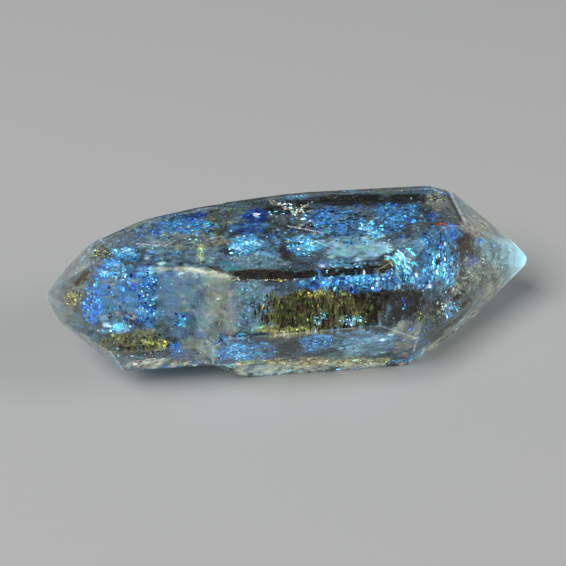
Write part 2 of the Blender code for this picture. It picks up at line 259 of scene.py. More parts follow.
# Flakes: their piece, form, tints and radius in mm, and how thick their cloud on the veil is
Kind = namedtuple("Kind", "piece form tints size cover")
KINDS = {
    "royal": Kind("blue_oil", "plate", (ROYAL, ROYAL, SKY, NAVY), (0.03, 0.09), 0.8),
    "navy": Kind("blue_oil", "plate", (NAVY, NAVY, ROYAL), (0.03, 0.09), 0.9),
    "sky": Kind("blue_oil", "plate", (SKY, SKY, CYAN, ROYAL), (0.03, 0.09), 0.8),
    "violet": Kind("blue_oil", "plate", (VIOLET, ROYAL), (0.03, 0.06), 0.7),
    "cyan": Kind("pale_oil", "plate", (CYAN, SKY, ICE), (0.03, 0.08), 0.85),
    # Painted glints in part: the ice beads here and the white beads below are bright points that glow
    "ice": Kind("pale_oil", "bead", (ICE, CYAN), (0.02, 0.06), 0.6),
    "oval": Kind("pale_oil", "bead", (ICE, CYAN, CYAN, SKY), (0.04, 0.09), 0.6),
    "teal": Kind("pale_oil", "plate", (TEAL, STEEL), (0.03, 0.09), 0.75),
    "lemon": Kind("amber_oil", "plate", (LEMON, GOLD), (0.02, 0.06), 0.7),
    "gold": Kind("amber_oil", "plate", (GOLD, OLIVE, LEMON), (0.03, 0.07), 0.7),
    "field": Kind("blue_oil", "plate", (DENIM, DENIM, SKY, TEAL, TEAL, NAVY), (0.07, 0.17), 0.95),
    "shell": Kind("veil_dust", "plate", (CREAM, BEIGE, STRAW, CHALK), (0.04, 0.12), 0.95),
    "olive": Kind("amber_oil", "plate", (OLIVE, OLIVE, MOSS, BROWN), (0.03, 0.1), 0.95),
    "brown": Kind("bitumen", "plate", (BROWN, MOSS, BROWN), (0.04, 0.1), 0.95),
    "rust": Kind("amber_oil", "plate", (RUST, BROWN), (0.02, 0.06), 0.7),
    "black": Kind("bitumen", "plate", (BITUMEN_AND_SHADE, BITUMEN_AND_SHADE, BROWN), (0.04, 0.11), 0.97),
    "hair": Kind("bitumen", "plate", (BITUMEN_AND_SHADE, BROWN), (0.015, 0.035), 0.9),
    "white": Kind("veil_dust", "bead", (WHITE, ICE), (0.02, 0.05), 0.6),
    "pink": Kind("veil_dust", "bead", (PINK, WHITE), (0.02, 0.04), 0.6),
    "haze": Kind("veil_dust", "mote", (HAZE, STEEL, PALE), (0.015, 0.035), 0.8),
    "beige": Kind("veil_dust", "mote", (BEIGE, HAZE, CREAM), (0.015, 0.035), 0.85),
    "cream": Kind("veil_dust", "mote", (CREAM, BEIGE), (0.015, 0.035), 0.9),
    "pale": Kind("veil_dust", "mote", (PALE, ICE, HAZE), (0.015, 0.035), 0.9),
}

# A patch of flakes: at, reach and turn as in a wash, and count, how many. lie: the way that long flakes
# point, in degrees on the photograph; stretch: how much longer they are; rim: how deep below the face
# they lie in mm, where they aren't on the veil.
Pocket = namedtuple("Pocket", "kind at reach count turn lie stretch rim", defaults=(0, 0, 1.0, None))
POCKETS = [
    # Blunt end
    Pocket("brown", (72, 295), (0.6, 0.75), 60, rim=(0.3, 0.6)),
    Pocket("gold", (73, 298), (0.45, 0.55), 120, rim=(0.15, 0.5)),
    Pocket("lemon", (72, 298), (0.35, 0.4), 15, rim=(0.1, 0.4)),
    Pocket("brown", (80, 281), (0.75, 0.2), 60, turn=50, lie=50, stretch=1.5, rim=(0.2, 0.5)),
    Pocket("rust", (80, 281), (0.7, 0.22), 25, turn=50, rim=(0.15, 0.4)),
    Pocket("black", (100, 253), (0.9, 0.35), 80, rim=(0.3, 0.5)),
    Pocket("gold", (104, 252), (0.7, 0.3), 50, rim=(0.15, 0.4)),
    Pocket("white", (102, 251), (0.6, 0.2), 10, rim=(0.15, 0.3)),
    Pocket("royal", (92, 303), (0.62, 1.2), 190),
    Pocket("sky", (96, 290), (0.45, 0.9), 60),
    Pocket("violet", (97, 280), (0.6, 0.5), 25),
    Pocket("haze", (118, 300), (1.0, 2.0), 200),
    Pocket("field", (128, 298), (1.3, 2.0), 60),
    Pocket("royal", (128, 288), (1.3, 1.2), 70),
    Pocket("beige", (125, 295), (1.3, 1.9), 120),
    Pocket("navy", (130, 300), (1.3, 1.9), 30),
    Pocket("cyan", (124, 253), (0.7, 0.3), 80),
    Pocket("sky", (112, 263), (0.5, 0.4), 60),
    Pocket("ice", (120, 276), (0.95, 0.25), 30),
    Pocket("cyan", (147, 297), (0.5, 2.1), 50),
    Pocket("navy", (149, 300), (0.6, 2.1), 70),
    Pocket("royal", (147, 297), (0.5, 2.1), 50),
    Pocket("ice", (147, 297), (0.5, 2.1), 30),
    Pocket("cyan", (120, 327), (0.8, 0.4), 90),
    Pocket("violet", (135, 285), (0.25, 0.2), 10),
    Pocket("pink", (125, 315), (0.35, 0.2), 10),
    Pocket("olive", (140, 341), (1.9, 0.55), 190),
    Pocket("lemon", (156, 344), (0.65, 0.25), 110),
    Pocket("black", (142, 354), (1.7, 0.22), 60, stretch=2.0),
    Pocket("ice", (142, 354), (1.7, 0.25), 25),
    Pocket("shell", (160, 363), (2.3, 0.25), 130, stretch=1.5, rim=(0.1, 0.4)),
    Pocket("royal", (176, 350), (0.4, 0.35), 40),
    Pocket("hair", (178, 362), (0.08, 0.12), 50, lie=60, stretch=2.0, rim=(0.04, 0.09)),
    Pocket("hair", (183, 363), (0.08, 0.1), 50, lie=120, stretch=2.0, rim=(0.04, 0.09)),
    Pocket("black", (80, 280), (0.75, 0.1), 20, turn=50, lie=50, stretch=2.0, rim=(0.3, 0.9)),
    Pocket("black", (110, 322), (0.08, 0.6), 8, lie=90, rim=(0.1, 0.3)),
    Pocket("black", (90, 345), (1.6, 0.06), 30, turn=-40, lie=-40, stretch=2.0, rim=(0.05, 0.2)),
    Pocket("ice", (100, 331), (0.3, 0.08), 8),
    # Upper face, left
    Pocket("field", (180, 229), (2.3, 0.7), 90),
    Pocket("royal", (152, 232), (0.8, 0.5), 60),
    Pocket("sky", (191, 226), (1.2, 0.4), 120),
    Pocket("navy", (190, 217), (0.95, 0.3), 70),
    Pocket("black", (170, 219), (0.5, 0.2), 30),
    Pocket("gold", (220, 220), (0.95, 0.9), 25),
    Pocket("olive", (218, 222), (1.1, 0.9), 60),
    Pocket("beige", (215, 222), (1.2, 0.9), 100),
    Pocket("lemon", (201, 252), (0.16, 0.6), 190, rim=(0.1, 0.4)),
    Pocket("white", (201, 253), (0.08, 0.45), 50, rim=(0.1, 0.3)),
    Pocket("haze", (187, 248), (2.3, 0.85), 400),
    Pocket("beige", (190, 240), (2.6, 0.7), 350),
    Pocket("pale", (185, 245), (2.4, 1.2), 120),
    Pocket("ice", (190, 238), (2.6, 1.2), 35),
    Pocket("sky", (160, 256), (2.0, 0.3), 50),
    # Upper face, middle
    Pocket("navy", (256, 215), (0.7, 0.4), 70),
    Pocket("royal", (256, 215), (0.5, 0.3), 40),
    Pocket("white", (257, 215), (0.2, 0.13), 45, stretch=1.5, rim=(0.1, 0.3)),
    Pocket("white", (232, 258), (0.05, 0.05), 3, rim=(0.1, 0.3)),
    Pocket("white", (237, 258), (0.05, 0.05), 3, rim=(0.1, 0.3)),
    Pocket("navy", (248, 228), (0.8, 0.35), 45, stretch=2.0),
    Pocket("cyan", (246, 246), (1.0, 0.55), 120),
    Pocket("ice", (246, 245), (0.8, 0.4), 25),
    Pocket("teal", (229, 265), (0.55, 0.45), 60),
    Pocket("field", (322, 234), (3.2, 1.1), 150),
    Pocket("beige", (322, 228), (3.2, 1.0), 200),
    Pocket("black", (345, 222), (3.0, 0.7), 70, stretch=2.5),
    Pocket("cream", (281, 206), (0.8, 0.12), 150, turn=-25, lie=-25, stretch=3.0, rim=(0.05, 0.25)),
    Pocket("cream", (301, 209), (0.8, 0.12), 150, turn=30, lie=30, stretch=3.0, rim=(0.05, 0.25)),
    Pocket("white", (291, 207), (1.2, 0.3), 26, lie=20, stretch=2.0, rim=(0.05, 0.25)),
    Pocket("beige", (292, 210), (1.3, 0.4), 120, rim=(0.05, 0.25)),
    Pocket("ice", (292, 213), (1.2, 0.35), 30, lie=-20, stretch=2.0, rim=(0.05, 0.25)),
    Pocket("black", (283, 207), (0.5, 0.25), 30),
    Pocket("cyan", (305, 246), (0.9, 0.55), 120),
    Pocket("ice", (306, 246), (0.7, 0.4), 25),
    Pocket("brown", (282, 252), (0.5, 0.6), 40),
    Pocket("teal", (268, 250), (0.6, 0.6), 30),
    Pocket("navy", (292, 250), (0.45, 0.3), 30),
    Pocket("cyan", (372, 228), (0.8, 0.45), 100),
    Pocket("ice", (371, 228), (0.6, 0.35), 30),
    Pocket("pale", (357, 247), (2.0, 0.75), 400),
    Pocket("ice", (388, 248), (0.12, 0.6), 20),
    Pocket("royal", (330, 218), (1.25, 0.6), 120),
    Pocket("sky", (330, 218), (1.25, 0.5), 60),
    Pocket("haze", (372, 202), (4.2, 0.4), 50),
    # Painted shade: these black flakes darken the clear band just below the top edge
    Pocket("black", (372, 200), (3.9, 0.25), 90, turn=3, lie=3, stretch=3.0),
    Pocket("olive", (335, 199), (1.5, 0.35), 30, stretch=2.0),
    Pocket("navy", (372, 205), (3.8, 0.15), 30, stretch=2.0),
    Pocket("field", (400, 222), (1.3, 0.8), 60),
    Pocket("sky", (398, 214), (1.1, 0.7), 120),
    Pocket("white", (419, 202), (0.08, 0.08), 5, rim=(0.1, 0.3)),
    Pocket("white", (411, 198), (0.05, 0.05), 3, rim=(0.1, 0.3)),
    Pocket("black", (415, 211), (0.6, 0.2), 12),
    Pocket("rust", (408, 200), (0.1, 0.06), 3),
    Pocket("white", (310, 221), (0.05, 0.4), 6, lie=90, stretch=3.0),
    Pocket("cream", (335, 190), (0.8, 0.06), 40, turn=4, rim=(0.05, 0.2)),
    # Ridge between the upper and the front face: the brown and black bands are partly painted shade of the
    # ledge, and the cream strips partly its painted highlight
    Pocket("brown", (265, 274), (2.6, 0.22), 150, stretch=2.5),
    Pocket("black", (265, 275), (2.4, 0.14), 70, stretch=2.5),
    Pocket("brown", (345, 270), (2.9, 0.18), 140, turn=5, lie=5, stretch=2.5),
    Pocket("black", (345, 270), (2.7, 0.12), 60, turn=5, lie=5, stretch=2.5),
    Pocket("olive", (385, 265), (0.6, 0.2), 12, turn=15, stretch=2.0),
    Pocket("gold", (385, 265), (0.6, 0.15), 8, turn=15),
    Pocket("cream", (185, 269), (1.9, 0.12), 260, turn=-2, rim=(0.03, 0.15)),
    Pocket("cream", (212, 273), (1.6, 0.2), 420, turn=-14, rim=(0.03, 0.15)),
    Pocket("cyan", (404, 265), (0.7, 0.8), 80, turn=-45, lie=-45, stretch=3.0),
    Pocket("cyan", (345, 266), (1.6, 0.25), 60),
    Pocket("cream", (262, 280), (1.9, 0.04), 90, stretch=2.0, rim=(0.03, 0.12)),
    Pocket("lemon", (281, 280), (0.15, 0.08), 12, rim=(0.03, 0.12)),
    # Front face
    Pocket("haze", (190, 308), (2.2, 2.2), 300),
    Pocket("teal", (166, 298), (0.6, 2.0), 25),
    Pocket("royal", (178, 300), (1.1, 1.9), 8),
    Pocket("cyan", (175, 300), (1.3, 2.0), 8),
    Pocket("sky", (181, 320), (0.4, 0.4), 30),
    Pocket("beige", (200, 305), (1.7, 2.0), 250),
    Pocket("beige", (220, 308), (1.0, 2.0), 250),
    Pocket("field", (182, 320), (0.45, 0.45), 16),
    Pocket("white", (219, 299), (0.2, 0.12), 8),
    Pocket("teal", (253, 305), (1.1, 1.6), 120),
    Pocket("field", (370, 281), (4.2, 0.5), 90),
    Pocket("cyan", (370, 281), (4.2, 0.5), 150),
    Pocket("oval", (370, 280), (4.1, 0.5), 60, lie=60, stretch=1.5),
    Pocket("navy", (370, 281), (4.2, 0.5), 90),
    Pocket("royal", (330, 287), (2.6, 0.5), 70),
    Pocket("olive", (318, 310), (3.5, 1.2), 500, lie=90, stretch=3.0),
    Pocket("brown", (318, 312), (3.3, 1.1), 200, lie=90, stretch=3.0),
    Pocket("gold", (315, 306), (3.4, 0.9), 60, lie=90, stretch=2.0),
    Pocket("lemon", (315, 294), (1.4, 0.25), 160),
    Pocket("lemon", (290, 330), (1.8, 0.15), 80),
    Pocket("ice", (322, 317), (0.45, 0.4), 40),
    Pocket("ice", (352, 321), (0.75, 0.35), 50),
    Pocket("black", (392, 304), (2.0, 1.0), 330),
    Pocket("royal", (402, 303), (0.25, 0.4), 22, rim=(0.15, 0.3)),
    Pocket("rust", (370, 315), (0.15, 0.12), 6),
    Pocket("teal", (387, 315), (0.4, 0.6), 25),
    Pocket("beige", (410, 328), (0.9, 0.4), 200),
    Pocket("royal", (411, 329), (0.15, 0.2), 8),
    # Lower front face
    Pocket("field", (242, 351), (1.8, 0.6), 60),
    Pocket("field", (345, 343), (2.8, 0.7), 60),
    Pocket("sky", (242, 351), (1.8, 0.65), 90),
    Pocket("beige", (255, 350), (1.5, 0.6), 80),
    Pocket("navy", (255, 350), (1.5, 0.6), 40),
    Pocket("cyan", (235, 352), (0.6, 0.45), 60),
    Pocket("ice", (235, 352), (0.5, 0.35), 20),
    Pocket("brown", (286, 350), (0.85, 0.7), 60),
    Pocket("sky", (315, 342), (0.95, 0.5), 90),
    Pocket("haze", (362, 343), (2.0, 0.75), 300),
    Pocket("cyan", (383, 338), (0.55, 0.3), 30),
    Pocket("rust", (312, 361), (0.85, 0.2), 40),
    Pocket("lemon", (320, 363), (5.0, 0.18), 320, stretch=1.5, rim=(0.1, 0.4)),
    Pocket("shell", (320, 362), (5.0, 0.25), 260, stretch=1.5, rim=(0.1, 0.4)),
    Pocket("black", (320, 368), (5.0, 0.06), 60, turn=2, stretch=2.0, rim=(0.05, 0.2)),
    Pocket("sky", (350, 369), (3.6, 0.06), 20, turn=2, stretch=2.0, rim=(0.05, 0.2)),
    Pocket("rust", (405, 357), (0.12, 0.08), 5),
    Pocket("shell", (432, 346), (1.7, 0.15), 90, turn=36, lie=36, stretch=1.5, rim=(0.05, 0.25)),
    Pocket("lemon", (430, 348), (1.5, 0.1), 50, turn=36, lie=36, stretch=1.5, rim=(0.05, 0.2)),
    Pocket("shell", (478, 308), (2.2, 0.12), 80, turn=47, lie=47, stretch=1.5, rim=(0.05, 0.25)),
    # Sharp end
    Pocket("hair", (455, 209), (0.95, 0.05), 500, turn=-62, lie=-62, stretch=2.0, rim=(0.12, 0.16)),
    Pocket("haze", (436, 200), (0.7, 0.8), 350, rim=(0.1, 0.8)),
    Pocket("shell", (434, 198), (0.5, 0.7), 45, rim=(0.1, 0.5)),
    Pocket("olive", (446, 207), (0.9, 0.9), 90, rim=(0.2, 1.0)),
    Pocket("black", (446, 207), (0.9, 1.0), 25, rim=(0.2, 1.0)),
    Pocket("field", (440, 250), (1.4, 1.7), 110),
    Pocket("royal", (425, 340), (0.3, 0.2), 20),
    Pocket("royal", (480, 240), (0.2, 0.4), 10),
    Pocket("royal", (494, 243), (0.15, 0.25), 6),
    Pocket("lemon", (490, 287), (0.2, 0.08), 6, turn=40, lie=40, stretch=2.0),
    Pocket("shell", (456, 288), (0.5, 0.2), 40, turn=20, rim=(0.1, 0.4)),
    Pocket("shell", (448, 302), (0.5, 0.9), 50, turn=-35, rim=(0.1, 0.4)),
    Pocket("ice", (450, 308), (0.5, 0.8), 25, turn=-35, rim=(0.1, 0.4)),
    Pocket("royal", (451, 234), (0.5, 0.35), 45),
    Pocket("royal", (434, 215), (0.35, 0.3), 25),
    Pocket("rust", (443, 224), (0.35, 0.2), 45, rim=(0.1, 0.4)),
    Pocket("cyan", (443, 265), (1.0, 1.2), 130, lie=90, stretch=2.0),
    Pocket("ice", (404, 265), (0.7, 0.6), 25, turn=-45, lie=-45, stretch=2.0),
    Pocket("brown", (448, 262), (1.0, 1.2), 50, lie=90, stretch=2.0),
    Pocket("royal", (443, 265), (1.0, 1.2), 60, lie=90),
    Pocket("violet", (471, 262), (0.4, 0.45), 40),
    Pocket("brown", (463, 247), (0.6, 0.8), 60),
    Pocket("haze", (487, 241), (0.8, 0.4), 100),
    Pocket("pale", (508, 253), (1.0, 1.0), 150, rim=(0.1, 0.9)),
    Pocket("black", (457, 297), (0.5, 0.14), 60, turn=35, rim=(0.05, 0.25)),
    Pocket("black", (465, 305), (0.5, 0.14), 60, turn=35, rim=(0.05, 0.25)),
    Pocket("black", (458, 318), (0.8, 0.08), 50, turn=40, lie=40, stretch=2.0, rim=(0.05, 0.25)),
    Pocket("sky", (452, 310), (0.45, 0.6), 25, turn=-35),
    Pocket("gold", (430, 312), (0.8, 0.6), 40),
]


class Link:
    """An output socket that Python's operators work on, each through one Math node."""

    def __init__(self, graph, socket):
        self.graph = graph
        self.socket = socket

    def math(self, operation, *values):
        return self.graph.node("ShaderNodeMath", {"operation": operation}, dict(enumerate(values)))

    def __add__(self, other):
        return self.math("ADD", self, other)

    def __radd__(self, other):
        return self.math("ADD", other, self)

    def __sub__(self, other):
        return self.math("SUBTRACT", self, other)

    def __rsub__(self, other):
        return self.math("SUBTRACT", other, self)

    def __mul__(self, other):
        return self.math("MULTIPLY", self, other)

    def __rmul__(self, other):
        return self.math("MULTIPLY", other, self)


class Graph:
    """A material's node tree, built from nodes and expressions on their sockets."""

    def __init__(self, name):
        self.material = bpy.data.materials.new(name)
        self.material.use_nodes = True
        self.tree = self.material.node_tree
        self.tree.nodes.clear()
        self.output = self.tree.nodes.new("ShaderNodeOutputMaterial")

    def node(self, kind, settings=None, values=None, output=0):
        """A new node: its settings first, then its sockets' values or links. Returns one of its outputs."""
        made = self.tree.nodes.new(kind)
        for key, value in (settings or {}).items():
            setattr(made, key, value)
        for key, value in (values or {}).items():
            self.feed(made.inputs[key], value)
        return Link(self, made.outputs[output])

    def feed(self, socket, value):
        if isinstance(value, Link):
            self.tree.links.new(value.socket, socket)
        elif socket.type == "RGBA":
            socket.default_value = (*value, 1.0)
        else:
            socket.default_value = value

    def place(self):
        return self.node("ShaderNodeTexCoord", output="Object")

    def attribute(self, name, output="Fac"):
        return self.node("ShaderNodeAttribute", {"attribute_name": name}, output=output)

    def noise(self, place, size, detail=2.0, output="Fac"):
        """Cloudy noise about 0.5, in patches of the given size in mm."""
        values = {"Vector": place, "Scale": 1 / (size * MM), "Detail": detail}
        return self.node("ShaderNodeTexNoise", {}, values, output)

    def stretched(self, place, scale):
        return self.node("ShaderNodeMapping", {}, {"Vector": place, "Scale": scale})

    def ramp(self, value, low, high, out_low=0.0, out_high=1.0):
        """value from low to high becomes out_low to out_high, and no further."""
        settings = {"interpolation_type": "SMOOTHSTEP"}
        values = {"Value": value, "From Min": low, "From Max": high, "To Min": out_low, "To Max": out_high}
        return self.node("ShaderNodeMapRange", settings, values)

    def mix(self, factor, first, second, blend="MIX"):
        """One colour laid over another."""
        settings = {"data_type": "RGBA", "blend_type": blend}
        return self.node("ShaderNodeMix", settings, {0: factor, 6: first, 7: second}, 2)

    def dimmed(self, colour, light):
        """A colour times a number."""
        grey = self.node("ShaderNodeCombineXYZ", {}, {0: light, 1: light, 2: light})
        return self.mix(1.0, colour, grey, "MULTIPLY")

    def hued(self, colour, place, size, amount):
        """A colour with its red, green and blue each a little up or down, in patches of size mm."""
        patches = self.noise(place, size, output="Color")
        rest = 1 - amount / 2
        values = {0: patches, 1: (amount,) * 3, 2: (rest,) * 3}
        shares = self.node("ShaderNodeVectorMath", {"operation": "MULTIPLY_ADD"}, values)
        return self.mix(1.0, colour, shares, "MULTIPLY")

    def principled(self, values):
        return self.node("ShaderNodeBsdfPrincipled", {}, values)

    def finish(self, surface, volume=None):
        self.feed(self.output.inputs["Surface"], surface)
        if volume is not None:
            self.feed(self.output.inputs["Volume"], volume)
        self.material.cycles.emission_sampling = "NONE"
        return self.material


def quartz_material():
    """Clear quartz with a fine growth relief, milky places that glow as painted light, worn frosted edges
    with a painted sheen, and a smoky body.
    """
    g = Graph("petroleum_quartz_clear")
    place = g.place()
    # Painted light: the milky places glow in their tint, and the worn edges glow in a painted sheen in place
    # of their highlights
    milk_glow = g.attribute("cover") * g.ramp(g.noise(place, 0.5, 4.0), 0.3, 0.7, 0.75, 1.2)
    worn_and_sheen = g.attribute("worn_and_sheen") * g.ramp(g.noise(place, 0.8, 3.0), 0.35, 0.6)
    glow = g.mix(worn_and_sheen, g.dimmed(g.hued(g.attribute("tint", "Color"), place, 0.9, 0.4), milk_glow), EDGE_SHEEN)
    waves = g.noise(place, 2.4, 3.0)
    frost = g.ramp(g.noise(place, 0.7, 4.0), 0.45, 0.75, 0.02, 0.1)
    surface = g.principled(
        {
            "Base Color": (1.0, 1.0, 1.0),
            "Roughness": frost + g.ramp(milk_glow, 0.0, 0.8, 0.0, 0.35) + worn_and_sheen * 0.2,
            "IOR": QUARTZ_INDEX,
            "Transmission Weight": 1.0,
            "Emission Color": glow,
            "Emission Strength": 1.0,
            "Normal": g.node("ShaderNodeBump", {}, {"Strength": 0.12, "Distance": 0.0002, "Height": waves}),
        },
    )
    body = g.node("ShaderNodeVolumeAbsorption", {}, {"Color": (0.52, 0.56, 0.58), "Density": 160.0})
    return g.finish(surface, body)


def veil_material(name, glow):
    """A cloudy veil of fine inclusions, thinner and thicker, with the pockets' colours on it; it glows in
    these colours, a painted light.
    """
    g = Graph(name)
    place = g.place()
    grain = g.attribute("grain")
    fine = g.noise(place, 0.2, 2.0)
    speck = g.ramp(fine, 0.3, 0.5, -0.7, 0.0) + g.ramp(fine, 0.56, 0.72, 0.0, 1.6)
    patch = g.noise(g.stretched(place, (0.7, 1.0, 1.0)), 0.55, 1.0) - 0.5
    cloud = g.noise(place, 1.4, 4.0)
    light = 0.6 + cloud * 0.8 + (patch * 2.0 + speck) * grain
    thick = g.attribute("cover") * (g.ramp(cloud, 0.32, 0.62, 0.7, 1.2) + patch * grain)
    shade = g.dimmed(g.hued(g.attribute("tint", "Color"), place, 0.6, 0.9), light)
    surface = g.principled(
        {
            "Base Color": shade,
            "Roughness": 0.6,
            "Specular IOR Level": 0.0,
            "Alpha": g.node("ShaderNodeClamp", {}, {"Value": thick}),
            "Emission Color": shade,
            "Emission Strength": glow,
        },
    )
    return g.finish(surface)


def inclusion_material(name, glow, gloss):
    """What is sealed in the quartz: each flake has its tint and a faint painted glow, like the glow of oil
    in blue light.
    """
    g = Graph(name)
    cloud = g.ramp(g.noise(g.place(), 0.3), 0.3, 0.7, 0.5, 1.4)
    shade = g.dimmed(g.attribute("tint", "Color"), cloud)
    surface = g.principled(
        {
            "Base Color": shade,
            "Roughness": 0.3,
            "Specular IOR Level": gloss,
            "Emission Color": shade,
            "Emission Strength": glow,
        }
    )
    return g.finish(surface)


def floor_material():
    g = Graph("plain_pale_floor")
    return g.finish(g.principled({"Base Color": (0.55, 0.55, 0.54), "Roughness": 0.9}))


def new_object(name, mesh, material):
    piece = bpy.data.objects.new(name, mesh)
    bpy.context.scene.collection.objects.link(piece)
    piece.data.materials.append(material)
    return piece


def sight(px, py):
    """The way that the camera looks through a pixel of the photograph."""
    middle = PHOTO_SIDE / 2
    far = PHOTO_SIDE * LENS / SENSOR
    return (RIGHT * (px - middle) - UP * (py - middle) - BACK * far).normalized()


def bent(way, normal):
    """The way of a line of sight inside the quartz, by Snell's law."""
    ratio = 1 / QUARTZ_INDEX
    entry = -way.dot(normal)
    inside = math.sqrt(1 - ratio * ratio * (1 - entry * entry))
    return way * ratio + normal * (ratio * entry - inside)


JUST_INSIDE = 1e-6                        # metres, so that a ray leaves the face that it starts from


def look_in(quartz, px, py):
    """Where a pixel's line of sight enters, its way inside and how far it runs; None where it misses."""
    way = sight(px, py)
    hit, normal, _, _ = quartz.ray_cast(EYE, way)
    if hit is None:
        return None
    inside = bent(way, normal)
    _, _, _, run = quartz.ray_cast(hit + inside * JUST_INSIDE, inside)
    return (hit, inside, run) if run else None


class Painted:
    """A closed surface whose corners carry a tint, a cover and a grain, which dabs change."""

    def __init__(self, form, base_at, base_weight):
        form.normal_update()
        self.tree = BVHTree.FromBMesh(form)
        self.places = [v.co.copy() for v in form.verts]
        self.normals = [v.normal.copy() for v in form.verts]
        self.near = kdtree.KDTree(len(self.places))
        for index, place in enumerate(self.places):
            self.near.insert(place, index)
        self.near.balance()
        self.mesh = bpy.data.meshes.new("surface")
        form.to_mesh(self.mesh)
        form.free()
        self.weight = np.full(len(self.places), base_weight)
        self.values = np.array([base_at(p) for p in self.places]) * base_weight

    def dab(self, place, reach, value):
        """Blends a tint, cover and grain in about a place."""
        for _, index, away in self.near.find_range(place, reach):
            share = (1 - (away / reach) ** 2) ** 2
            self.weight[index] += share
            self.values[index] += share * value

    def piece(self, name, material):
        self.mesh.name = name
        values = (self.values / self.weight[:, None]).astype(np.float32)
        colours = np.ones((len(values), 4), np.float32)
        colours[:, :3] = values[:, :3]
        tints = self.mesh.attributes.new("tint", "FLOAT_COLOR", "POINT")
        tints.data.foreach_set("color", colours.ravel())
        for column, attribute in ((3, "cover"), (4, "grain")):
            layer = self.mesh.attributes.new(attribute, "FLOAT", "POINT")
            layer.data.foreach_set("value", values[:, column].copy())
        return new_object(name, self.mesh, material)


SAME_PLACE = 1e-7                         # metres, within which two corners are one
SAME_PLANE = 1e-8
MAIN_FACE_AREA = 1.0
HOLLOW_EDGE = -0.02                       # radians, bent inwards by more than this
FIRST_STRIATION = 0.2
STRIATION_STEPS = (0.14, 0.32)
STRIATION_DEPTH = 0.004
MESH_STEP = 0.3
FLAT = 0.9999                             # cosine between the faces about a corner that isn't on an edge
ALONG_THE_AXIS = 0.1                      # most lean of a face that has striations


def crystal_form():
    """The CAD crystal's mesh, joined up."""
    form = bmesh.new()
    form.from_mesh(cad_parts["quartz_crystal"].data)
    bmesh.ops.remove_doubles(form, verts=form.verts, dist=SAME_PLACE)
    return form


def looks(face):
    """The way that a face looks, rounded so that the parts of one flat face share it."""
    return tuple(round(c, 2) for c in face.normal)


def mark_worn_faces(form):
    """Marks the small faces of worn edges and corners, but not the sides of terraces and pits; these faces
    get frost and a painted sheen.
    """
    worn_and_sheen = form.faces.layers.float.new("worn_and_sheen")
    areas = {}
    for face in form.faces:
        areas[looks(face)] = areas.get(looks(face), 0) + face.calc_area()
    hollow = set()
    for edge in form.edges:
        if edge.calc_face_angle_signed(0.0) < HOLLOW_EDGE:
            hollow.update(edge.verts)
    for face in form.faces:
        small = areas[looks(face)] < MAIN_FACE_AREA * MM * MM
        face[worn_and_sheen] = float(small and hollow.isdisjoint(face.verts))


def slice_across(form, axis, at):
    """Cuts the faces' mesh along a plane across an axis."""
    normal = [0.0, 0.0, 0.0]
    normal[axis] = 1.0
    place = [c * at for c in normal]
    everything = form.verts[:] + form.edges[:] + form.faces[:]
    bmesh.ops.bisect_plane(form, geom=everything, dist=SAME_PLANE, plane_co=place, plane_no=normal)


def striate(rng):
    """The crystal's skin, cut fine, with hair-thin growth lines across the long axis."""
    form = crystal_form()
    mark_worn_faces(form)
    low, high = cad_box
    lines = {}
    at = low[0] / MM + FIRST_STRIATION
    while at < high[0] / MM:
        slice_across(form, 0, at * MM)
        lines[round(at * MM, 7)] = rng.uniform(0, STRIATION_DEPTH) * MM
        at += rng.uniform(*STRIATION_STEPS)
    for axis in (1, 2):
        at = low[axis] / MM + MESH_STEP / 2
        while at < high[axis] / MM:
            slice_across(form, axis, at * MM)
            at += MESH_STEP
    form.normal_update()
    flat = [v for v in form.verts if all(v.normal.dot(face.normal) > FLAT for face in v.link_faces)]
    for corner in flat:
        depth = lines.get(round(corner.co.x, 7), 0)
        fade = 0.5 + noise.noise((corner.co.x * 200, corner.co.y * 500, corner.co.z * 500))
        if abs(corner.normal.x) < ALONG_THE_AXIS:
            corner.co -= corner.normal * depth * eased(fade, 0, 1)
    bmesh.ops.triangulate(form, faces=form.faces)
    return form


# Forms inside the quartz start as a sphere of 1 mm, stretched to the crystal's half spans about its middle
MIDDLE = Vector((0.0, 0.0, 4.3)) * MM
HALF_SPANS = (15.0, 6.8, 4.0)
HALVINGS = 9                              # of the search for a depth


def below(quartz, start, face, depth):
    """The place between start and face that is depth away from the nearest face."""
    near, far = 0.0, 1.0
    for _ in range(HALVINGS):
        half = (near + far) / 2
        place = start.lerp(face, half)
        if (quartz.find_nearest(place)[0] - place).length < depth:
            far = half
        else:
            near = half
    return start.lerp(face, near)


def inner_form(quartz, finest, depth_at, axis_share):
    """A closed form inside the quartz that follows its faces, depth_at(place) below them.

    Its corners spread from a line along the middle, which is axis_share as long as the crystal.
    """
    form = bmesh.new()
    bmesh.ops.create_icosphere(form, subdivisions=finest, radius=MM)
    bmesh.ops.scale(form, vec=HALF_SPANS, verts=form.verts)
    for corner in form.verts:
        start = MIDDLE + Vector((corner.co.x * axis_share, 0, 0))
        face = quartz.ray_cast(start, (corner.co + MIDDLE - start).normalized())[0]
        corner.co = below(quartz, start, face, depth_at(face))
    for face in form.faces:
        face.smooth = True
    return form


def eased(value, low, high):
    """0 below low, 1 above high, and between them in between."""
    return min(max((value - low) / (high - low), 0), 1)


# Where an end starts and where it is full, in mm along the axis from the middle
CLEAR_BLUNT_END = (10.5, 13.5)
CLEAR_SHARP_END = (9.0, 12.0)
# On the skin the milky ends and the milky tip glow, as painted light
MILKY_BLUNT_END = (9.5, 14.0)
MILKY_SHARP_END = (8.0, 12.0)
MILKY_TIP = (12.8, 15.0)


